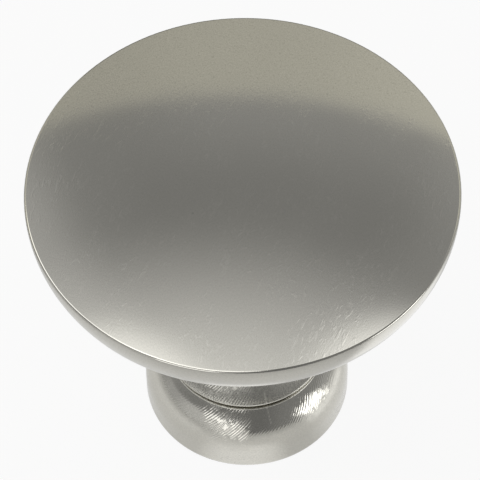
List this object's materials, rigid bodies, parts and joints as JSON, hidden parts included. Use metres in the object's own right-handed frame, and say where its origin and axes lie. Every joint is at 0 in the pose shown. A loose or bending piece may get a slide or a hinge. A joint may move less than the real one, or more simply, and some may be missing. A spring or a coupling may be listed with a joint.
{
  "type": "cabinet knob",
  "caption": "Round mushroom cabinet knob in satin nickel: a broad, slightly crowned head on a waisted neck and a bun foot, tapped for a screw from behind.",
  "frame": {"origin": "middle of the flat of the foot, which bears on the door or drawer front", "axes": "+Z along the knob's axis, from the foot to the crown of the face; the knob is round, so X and Y are free"},
  "size_m": [0.032, 0.032, 0.0275],
  "materials": {
    "satin_nickel": "brushed satin nickel plate under a clear lacquer, on die-cast zinc"
  },
  "bodies": {
    "root": {"knob": "satin_nickel"}
  },
  "joints": []
}
